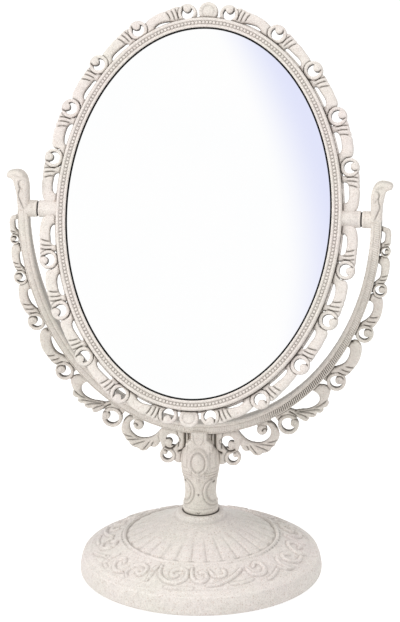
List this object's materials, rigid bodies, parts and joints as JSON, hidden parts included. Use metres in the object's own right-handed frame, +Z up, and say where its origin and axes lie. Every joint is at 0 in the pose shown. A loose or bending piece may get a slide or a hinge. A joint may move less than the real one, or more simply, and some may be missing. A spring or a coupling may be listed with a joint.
{
  "type": "double-sided table mirror",
  "caption": "Oval double-sided vanity mirror that turns on pivots in a scrolled U-shaped yoke, on a vase neck and a domed round base.",
  "frame": {"origin": "centre of the base's underside, on the surface it stands on", "axes": "+Z up; +X along the swivel axis towards the right arm seen from the front; the front glass faces -Y"},
  "size_m": [0.1842, 0.1184, 0.2763],
  "materials": {
    "frame_plastic": "straw-filled plastic, satin, fine brown and pink speckles",
    "stand_plastic": "straw-filled plastic, satin, fine brown and pink speckles",
    "mirror_glass": "silvered glass, polished",
    "spacer_board": "pressed fibreboard, raw",
    "bush_plastic": "moulded, smooth",
    "washer_rubber": "matt",
    "pad_rubber": "foamed, matt",
    "steel": "zinc plated",
    "brass": "turned and knurled"
  },
  "bodies": {
    "stand": {"yoke_front_shell": "stand_plastic", "yoke_rear_shell": "stand_plastic", "pivot_pin_left": "steel", "pivot_pin_right": "steel", "friction_washer_left": "washer_rubber", "friction_washer_right": "washer_rubber", "neck_front_shell": "stand_plastic", "neck_rear_shell": "stand_plastic", "neck_screws": "steel", "neck_insert": "brass", "tie_bolt": "steel", "tie_bolt_washer": "steel", "base_shell": "stand_plastic", "ballast_plate": "steel", "base_cover": "stand_plastic", "cover_screws": "steel", "base_pad": "pad_rubber"},
    "head": {"head_frame_front": "frame_plastic", "head_frame_rear": "frame_plastic", "mirror_glass_front": "mirror_glass", "mirror_glass_rear": "mirror_glass", "glass_spacer": "spacer_board", "pivot_bush_left": "bush_plastic", "pivot_bush_right": "bush_plastic"}
  },
  "joints": [
    {"name": "mirror_tilt", "type": "hinge", "parent": "stand", "child": "head", "pos_m": [0, 0, 0.182], "axis": [1, 0, 0], "continuous": true}
  ]
}
